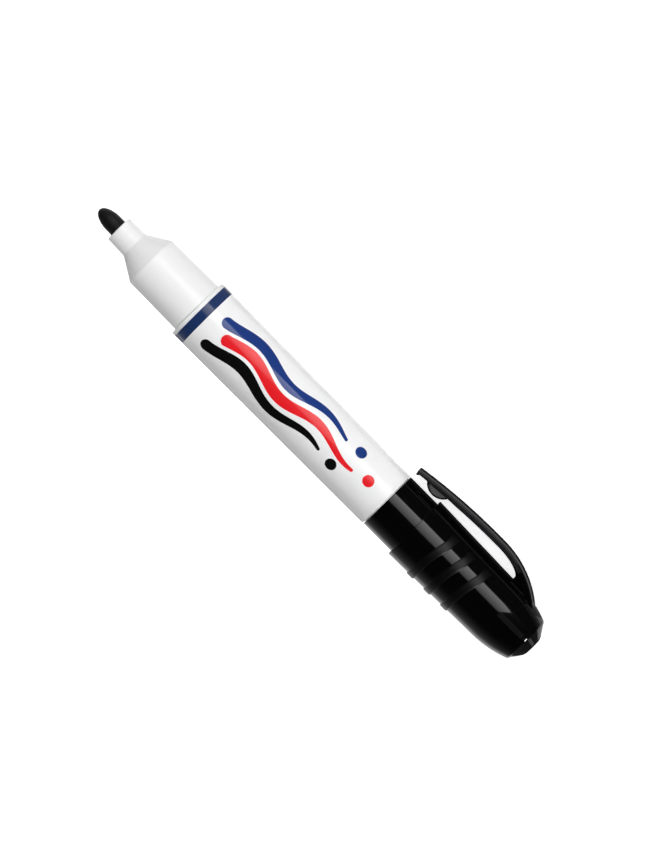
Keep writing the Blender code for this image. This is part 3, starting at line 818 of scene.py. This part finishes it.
def clip_slope(station):
    """Rise of the clip's outer face, per metre towards the crown."""
    nearby = 0.00001
    return (clip_top(station + nearby) - clip_top(station)) / nearby


def strip_thickness(station):
    """Thickness of the strip, thinning to its tip, with a small lip under the very end."""
    share = min(1.0, (station - clip_tip) / (clip_taper_end - clip_tip))
    lip = max(0.0, 1 - (station - clip_tip) / clip_lip_length)
    lip = min(1.0, 2 * lip)
    tapered = clip_tip_thickness + (clip_thickness - clip_tip_thickness) * share
    return tapered + clip_lip_depth * lip**2 * (3 - 2 * lip)


def corner_loss(distance, radius):
    """How far a round corner of that radius stands back, at a distance from the end."""
    short = max(0.0, radius - distance)
    return radius - math.sqrt(radius**2 - short**2)


def strip_section(half_width, thickness):
    """Outline (across, depth) of the strip: rounded outer edges, nearly sharp inner ones."""
    outer_limit = 0.7
    inner_limit = 0.2
    outer_steps = 8
    inner_steps = 4
    outer = min(clip_outer_edge, thickness * outer_limit)
    inner = min(clip_inner_edge, thickness * inner_limit)
    outer_start = half_width - outer
    inner_start = half_width - inner
    right = [(outer_start - flat_holder, 0)]
    for turn in spaced(0, math.pi / 2, outer_steps):
        right.append((outer_start + outer * math.sin(turn), outer * (math.cos(turn) - 1)))
    for turn in spaced(0, math.pi / 2, inner_steps):
        right.append((inner_start + inner * math.cos(turn), inner - thickness - inner * math.sin(turn)))
    right.append((inner_start - flat_holder, -thickness))
    return right + [(-across, depth) for across, depth in reversed(right)]


clip_shape = bmesh.new()
strip_rings = []
tip_turns = spaced(clip_tip_turn, math.pi / 2, clip_tip_steps)
strip_stations = [clip_tip + clip_tip_corner * (1 - math.cos(turn)) for turn in tip_turns]
strip_stations += spaced(clip_tip + clip_tip_corner, clip_root_end, clip_strip_steps)[1:]
for station in strip_stations:
    outward_tilt = Vector((clip_slope(station), 1)).normalized()
    tip_distance = station - clip_tip
    top_loss = corner_loss(tip_distance, clip_tip_round)
    half_width = clip_width / 2 - corner_loss(tip_distance, clip_tip_corner)
    ring = []
    for across, depth in strip_section(half_width, strip_thickness(station) - 2 * top_loss):
        place = Vector((mouth_x - station, clip_top(station))) + outward_tilt * (depth - top_loss)
        ring.append(clip_shape.verts.new((place.x, across, place.y)))
    strip_rings.append(ring)
side_end = mouth_x - web_foot_station
side_slack = 0.0000004
for ring, beside in zip(strip_rings, strip_rings[1:]):
    for corner in range(len(ring)):
        face = clip_shape.faces.new((ring[corner], ring[corner - 1], beside[corner - 1], beside[corner]))
        on_side = abs(ring[corner].co.y - ring[corner - 1].co.y) < side_slack
        before_web = beside[corner].co.x > side_end
        face.material_index = side_painted_sheen if on_side and before_web else gloss_finish
clip_shape.faces.new(strip_rings[0])
clip_shape.faces.new(strip_rings[-1])


def add_rounded_prism(shape, outline, width, edge, finish):
    """Outline in the clip's plane, thickened evenly to both sides, its outer edges rounded."""
    edge_segments = 4
    bevel_corners = 8
    strip_faces = set(shape.faces)
    side_face = shape.faces.new([shape.verts.new((x, -width / 2, z)) for x, z in outline])
    swept = bmesh.ops.extrude_face_region(shape, geom=[side_face])["geom"]
    far_face = next(item for item in swept if isinstance(item, bmesh.types.BMFace))
    moved = [item for item in swept if isinstance(item, bmesh.types.BMVert)]
    bmesh.ops.translate(shape, verts=moved, vec=(0, width, 0))
    rims = list(side_face.edges) + list(far_face.edges)
    bmesh.ops.bevel(shape, geom=rims, offset=edge, segments=edge_segments, profile=0.5, affect="EDGES")
    prism_faces = [face for face in shape.faces if face not in strip_faces]
    flat_sides = [face for face in prism_faces if len(face.verts) > bevel_corners]
    bmesh.ops.inset_individual(shape, faces=flat_sides, thickness=flat_holder)
    for face in flat_sides:
        face.material_index = finish


half_bump = bump_length / 2
bump_curve = (half_bump**2 + bump_depth**2) / (2 * bump_depth)
bump_sweep = math.asin(half_bump / bump_curve)
bump_under = clip_top(bump_station) - strip_thickness(bump_station)
bump_outline = []
for turn in spaced(-bump_sweep, bump_sweep, bump_steps):
    bump_place = mouth_x - bump_station - bump_curve * math.sin(turn)
    bump_outline.append((bump_place, bump_under - bump_depth + bump_curve * (1 - math.cos(turn))))
for station in spaced(bump_station + half_bump, bump_station - half_bump, bump_back_steps):
    bump_outline.append((mouth_x - station, clip_top(station) - clip_tip_thickness / 2))
add_rounded_prism(clip_shape, bump_outline, bump_width, bump_edge, bump_painted_sheen)

web_start = web_foot_station - web_reach
web_outline = []
for turn in spaced(0, math.pi / 2, web_arch_steps):
    arch_height = clip_top(web_start) - clip_thickness - web_drop * (1 - math.cos(turn))
    web_outline.append((mouth_x - web_start - web_reach * math.sin(turn), arch_height))
web_outline.append((mouth_x - web_foot_station, cap_ledge_radius))
web_outline.append((mouth_x - clip_root_end, cap_end_radius))
for station in spaced(clip_root_end, web_start, web_back_steps):
    web_outline.append((mouth_x - station, clip_top(station) - clip_thickness / 2))
add_rounded_prism(clip_shape, web_outline, web_width, web_edge, gloss_finish)
bmesh.ops.recalc_face_normals(clip_shape, faces=clip_shape.faces)
clip = finished("pocket_clip_arm", clip_shape, cap_black, None)
# The bump's satin sides: their grey, far lighter than the cap's black, is painted sheen.
clip.data.materials.append(moulded_plastic(
    "clip_satin_painted_sheen", light=(0.078, 0.078, 0.079), dark=(0.054, 0.054, 0.055),
    gloss_rough=0.35, worn_rough=0.45, grain_size=0.0001, grain_depth=0.000002))
# The strip's satin sides: satin roughness, and a grey a little lighter than the cap's black that is painted
# sheen.
clip.data.materials.append(moulded_plastic(
    "clip_side_satin_painted_sheen", light=(0.009, 0.009, 0.0095), dark=(0.006, 0.006, 0.0065),
    gloss_rough=0.25, worn_rough=0.35, grain_size=0.0001, grain_depth=0.000001))
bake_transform(clip)
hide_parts("pocket_clip")

# Floor and reflection cards
# A plain white sheet, which looks white to the eye and in reflections, and keeps the marker's shadow.
# Cards that glow at their own tone lie on it for the black gloss; only mirror images show them, as painted
# reflections.
floor_half = 12.0
floor_colour = (0.9, 0.9, 0.9)
floor_rough = 0.9
floor_lift = 0.76
floor_mirror_lift = 0.48
white = (1, 1, 1)
black = (0, 0, 0)


def level_corners(back, front, near, far, level):
    """Corners of a level sheet, between two places along the marker and two across it."""
    return [(back, far, level), (front, far, level), (front, near, level), (back, near, level)]


def sheet_object(name, corners, material):
    """Stage piece made of flat sheets, with four corners for each."""
    mesh = bpy.data.meshes.new(name)
    sheets = [tuple(range(place, place + 4)) for place in range(0, len(corners), 4)]
    mesh.from_pydata(corners, [], sheets)
    mesh.materials.append(material)
    piece = bpy.data.objects.new(name, mesh)
    bpy.context.scene.collection.objects.link(piece)
    return piece


floor_paper, paper_tree, paper_shader = new_finish("floor_paper")
feed(paper_tree, paper_shader.inputs["Base Color"], floor_colour)
paper_shader.inputs["Roughness"].default_value = floor_rough
paper_shader.inputs["Specular IOR Level"].default_value = 0
feed(paper_tree, paper_shader.inputs["Emission Color"], white)
light_path = paper_tree.nodes.new("ShaderNodeLightPath")
mirrored_ray = maths(paper_tree, "MAXIMUM", light_path.outputs["Is Glossy Ray"],
                     light_path.outputs["Is Transmission Ray"])
mirror_lift = maths(paper_tree, "MULTIPLY", mirrored_ray, floor_mirror_lift)
lift = maths(paper_tree, "MULTIPLY_ADD", light_path.outputs["Is Camera Ray"], floor_lift, mirror_lift)
feed(paper_tree, paper_shader.inputs["Emission Strength"], lift)
sheet_object("floor_sheet", level_corners(-floor_half, floor_half, floor_half, -floor_half, 0), floor_paper)

card_near = -0.001
card_far = -0.5
card_rise = 0.08
card_front = 0.6
card_back = -0.6
card_level = 0.00005
grey_level = 2 * card_level
flat_card_level = 3 * card_level


def glowing_mirror_card(name, tone):
    """Black card that glows at one even tone, a painted reflection in a mirror."""
    material, tree, shader = new_finish(name)
    feed(tree, shader.inputs["Base Color"], black)
    shader.inputs["Specular IOR Level"].default_value = 0
    feed(tree, shader.inputs["Emission Color"], white)
    shader.inputs["Emission Strength"].default_value = tone
    return material


def standing_card(name, back, front, tone):
    """Card before the marker from one place along it to another, turned up at its far edge."""
    upright = [(back, card_far, card_rise), (front, card_far, card_rise),
               (front, card_far, card_level), (back, card_far, card_level)]
    lying = level_corners(back, front, card_near, card_far, card_level)
    return sheet_object(name, lying + upright, glowing_mirror_card(name, tone))


def flat_card(name, back, front, near, far, tone):
    """Card flat on the floor, a little above the wider ones."""
    corners = level_corners(back, front, near, far, flat_card_level)
    return sheet_object(name, corners, glowing_mirror_card(name, tone))


sight = clip_outward * math.cos(sight_from_clip) + clip_lateral * math.sin(sight_from_clip)


def mirrored_spot(station, across):
    """Place on the floor that the clip's outer face mirrors to the camera."""
    facing = (marker_to_frame.to_3x3() @ Vector((clip_slope(station), 0, 1))).normalized()
    place = marker_to_frame @ Vector((mouth_x - station, across, clip_top(station)))
    mirrored = 2 * sight.dot(facing) * facing - sight
    spot = place - mirrored * place.z / mirrored.z
    return (spot.x, spot.y, grey_level)


# The grey card glows where the clip's outer face and the crown mirror the floor: painted shade of the
# floor.
grey_tone = 0.21
grey_back = cad_low.x - 0.012
crown_card_front = cad_low.x + 0.006
clip_card_near = 0.0002
clip_card_far = 0.003
clip_card_steps = 24
grey_corners = level_corners(grey_back, mouth_x, near=-0.0135, far=-0.015, level=grey_level)
grey_corners += level_corners(grey_back, crown_card_front, near=-0.0015, far=-0.012, level=grey_level)
clip_stations = spaced(clip_tip, clip_root_end, clip_card_steps)
for station, beyond in zip(clip_stations, clip_stations[1:]):
    grey_corners += [mirrored_spot(station, clip_card_near), mirrored_spot(station, clip_card_far),
                     mirrored_spot(beyond, clip_card_far), mirrored_spot(beyond, clip_card_near)]

end_tone = 0.07
end_card_front = cad_low.x + 0.01
end_card_turn = cad_low.x - 0.003
end_card_side = 0.018
end_card_spread = 0.48
end_corners = [
    (card_back, card_near, card_level),
    (end_card_front, card_near, card_level),
    (end_card_turn, end_card_side, card_level),
    (card_back, end_card_spread, card_level),
]
# Each card glows at its tone in mirror images only: darker ones paint shade into the reflections, paler
# ones highlights.
cards = [
    standing_card("dark_card", card_back, mouth_x, tone=0.03),
    standing_card("label_card", mouth_x, card_front, tone=0.2),
    flat_card("edge_card", mouth_x, card_front, near=-0.0008, far=-0.0048, tone=1.0),
    flat_card("back_card", mouth_x, card_front, near=0.012, far=0.12, tone=0.42),
    # The rim and patch cards paint highlights into the reflection on the cap's end.
    flat_card("rim_card", cad_low.x - 0.008, cad_low.x + 0.002, near=0.003, far=-0.008, tone=0.65),
    flat_card("patch_card", cad_low.x - 0.0285, cad_low.x - 0.0185, near=0.0095, far=0.004, tone=0.55),
    sheet_object("grey_card", grey_corners, glowing_mirror_card("grey_card_glow", grey_tone)),
    sheet_object("end_card", end_corners, glowing_mirror_card("end_card_glow", end_tone)),
]
for card in cards:
    card.visible_camera = False
    card.visible_diffuse = False
    card.visible_transmission = False
    card.visible_shadow = False

# Studio light
# A soft box low in front gives the long highlight, a fill and a light overhead lift the white, a low strip
# lights the back, and two lamps touch the cap's end. The room is white at the horizon and dark above.
key_distance = 0.6
key_elevation = math.radians(24.9)
key_width = 0.47
key_height = 0.346
key_shift = 0.061
key_turn = math.radians(-16)
key_power = 1.3
key_low_strength = 1.38
key_high_strength = 0.38
fill_elevation = math.radians(36)
fill_power = 1.9
strip_distance = 0.03
strip_level = 0.004
strip_height = 0.006
strip_overlap = 0.01
strip_power = 0.0062
top_height = 0.9
top_size = 1.0
top_power = 3.3
glint_direction = Vector((-0.85, -0.36, 0.38)).normalized()
glint_distance = 0.8
glint_width = 0.3
glint_height = 0.14
glint_power = 4.0
sheen_direction = Vector((-0.47, -0.59, 0.66)).normalized()
sheen_distance = 0.6
sheen_width = 0.34
sheen_height = 0.2
sheen_power = 0.03


def soft_box(name, place, towards, width, height, power, turn=0, glossy=True, diffuse=True):
    """Area lamp that faces back along a direction, its width along the marker before the turn."""
    lamp = bpy.data.lights.new(name, "AREA")
    lamp.shape = "RECTANGLE"
    lamp.size = width
    lamp.size_y = height
    lamp.energy = power
    placed = bpy.data.objects.new(name, lamp)
    level = towards.cross(along_axis).normalized()
    facing = Matrix((level.cross(towards), level, towards)).transposed().to_4x4()
    placed.matrix_world = Matrix.Translation(place) @ facing @ Matrix.Rotation(turn, 4, "Z")
    placed.visible_camera = False
    placed.visible_glossy = glossy
    placed.visible_diffuse = diffuse
    bpy.context.scene.collection.objects.link(placed)
    return placed


def from_front(elevation):
    """Direction towards a lamp straight before the marker, at an elevation."""
    return Vector((0, -math.cos(elevation), math.sin(elevation)))


key_direction = from_front(key_elevation)
key_place = axis_point + key_direction * key_distance + along_axis * key_shift
key = soft_box("key_soft_box", key_place, key_direction, key_width, key_height, key_power, turn=key_turn)
key.data.use_nodes = True
key_tree = key.data.node_tree
key_surface = key_tree.nodes.new("ShaderNodeNewGeometry")
key_xyz = key_tree.nodes.new("ShaderNodeSeparateXYZ")
feed(key_tree, key_xyz.inputs["Vector"], key_surface.outputs["Parametric"])
key_fade = maths(key_tree, "MULTIPLY_ADD", key_xyz.outputs["Y"], key_high_strength - key_low_strength,
                 key_low_strength)
feed(key_tree, key_tree.nodes["Emission"].inputs["Strength"], key_fade)

fill_direction = from_front(fill_elevation)
soft_box("front_fill", axis_point + fill_direction * key_distance, fill_direction,
         key_width, key_width, fill_power, glossy=False)
strip_start = mouth_x - strip_overlap
strip_place = Vector(((strip_start + cad_high.x) / 2, strip_distance, strip_level))
soft_box("back_strip", strip_place, Vector((0, 1, 0)),
         cad_high.x - strip_start, strip_height, strip_power, glossy=False)
top_direction = Vector((0, 0, 1))
soft_box("top_soft_light", axis_point + top_direction * top_height, top_direction,
         top_size, top_size, top_power, glossy=False)
soft_box("end_glint", axis_point + glint_direction * glint_distance, glint_direction,
         glint_width, glint_height, glint_power, diffuse=False)
soft_box("crown_sheen", axis_point + sheen_direction * sheen_distance, sheen_direction,
         sheen_width, sheen_height, sheen_power, diffuse=False)

room_levels = [(0.06, 1.0), (0.12, 0.45), (0.31, 0.33), (0.5, 0.2), (0.73, 0.07), (0.86, 0.012)]
room = bpy.data.worlds.new("studio_room")
bpy.context.scene.world = room
room.use_nodes = True
room_tree = room.node_tree
room_surface = room_tree.nodes["Background"]
room_place = room_tree.nodes.new("ShaderNodeTexCoord")
room_xyz = room_tree.nodes.new("ShaderNodeSeparateXYZ")
room_ramp = room_tree.nodes.new("ShaderNodeValToRGB")
feed(room_tree, room_xyz.inputs["Vector"], room_place.outputs["Generated"])
feed(room_tree, room_ramp.inputs["Fac"], room_xyz.outputs["Z"])
stops = room_ramp.color_ramp.elements
while len(stops) < len(room_levels):
    stops.new(0.5)
for stop, (place, level) in zip(stops, room_levels):
    stop.position = place
    stop.color = (level, level, level, 1)


def room_share(value, start, end, start_share, end_share):
    """Share of the room's light, from one value to another while a coordinate runs from start to end."""
    spread = room_tree.nodes.new("ShaderNodeMapRange")
    settings = {"From Min": start, "From Max": end, "To Min": start_share, "To Max": end_share}
    for setting, number in settings.items():
        spread.inputs[setting].default_value = number
    feed(room_tree, spread.inputs["Value"], value)
    return spread.outputs["Result"]


room_side = room_share(room_xyz.outputs["Y"], start=-0.1, end=0.35, start_share=0.3, end_share=1.0)
from_middle = maths(room_tree, "ABSOLUTE", room_xyz.outputs["X"])
room_ends = room_share(from_middle, start=0.15, end=0.55, start_share=1.0, end_share=0.25)
feed(room_tree, room_surface.inputs["Color"], room_ramp.outputs["Color"])
feed(room_tree, room_surface.inputs["Strength"], maths(room_tree, "MULTIPLY", room_side, room_ends))

# Camera
# Square to the marker's axis and 78.2 degrees round from the clip, as in the photograph.
# The picture is turned so that the nib points up and to the left.
picture_pixels_high = 864
pixels_per_metre = 4400
picture_turn = math.radians(45.3)
camera_distance = 1.5
sensor = 36.0
nearest_seen = 0.05
farthest_seen = 60
aim_along = -0.001877
aim_down = -0.0007
away_from_clip = sight.cross(along_axis)
picture_right = -along_axis * math.cos(picture_turn) - away_from_clip * math.sin(picture_turn)
picture_up = along_axis * math.sin(picture_turn) - away_from_clip * math.cos(picture_turn)
camera_lens = bpy.data.cameras.new("photo_camera")
camera_lens.sensor_width = sensor
camera_lens.lens = sensor * camera_distance * pixels_per_metre / picture_pixels_high
camera_lens.clip_start = nearest_seen
camera_lens.clip_end = farthest_seen
camera = bpy.data.objects.new("photo_camera", camera_lens)
camera_aim = axis_point + along_axis * aim_along + away_from_clip * aim_down
camera_axes = Matrix((picture_right, picture_up, sight)).transposed().to_4x4()
camera.matrix_world = Matrix.Translation(camera_aim + sight * camera_distance) @ camera_axes
bpy.context.scene.collection.objects.link(camera)
bpy.context.scene.camera = camera
bpy.context.scene.view_settings.view_transform = "Standard"

bpy.context.view_layer.update()
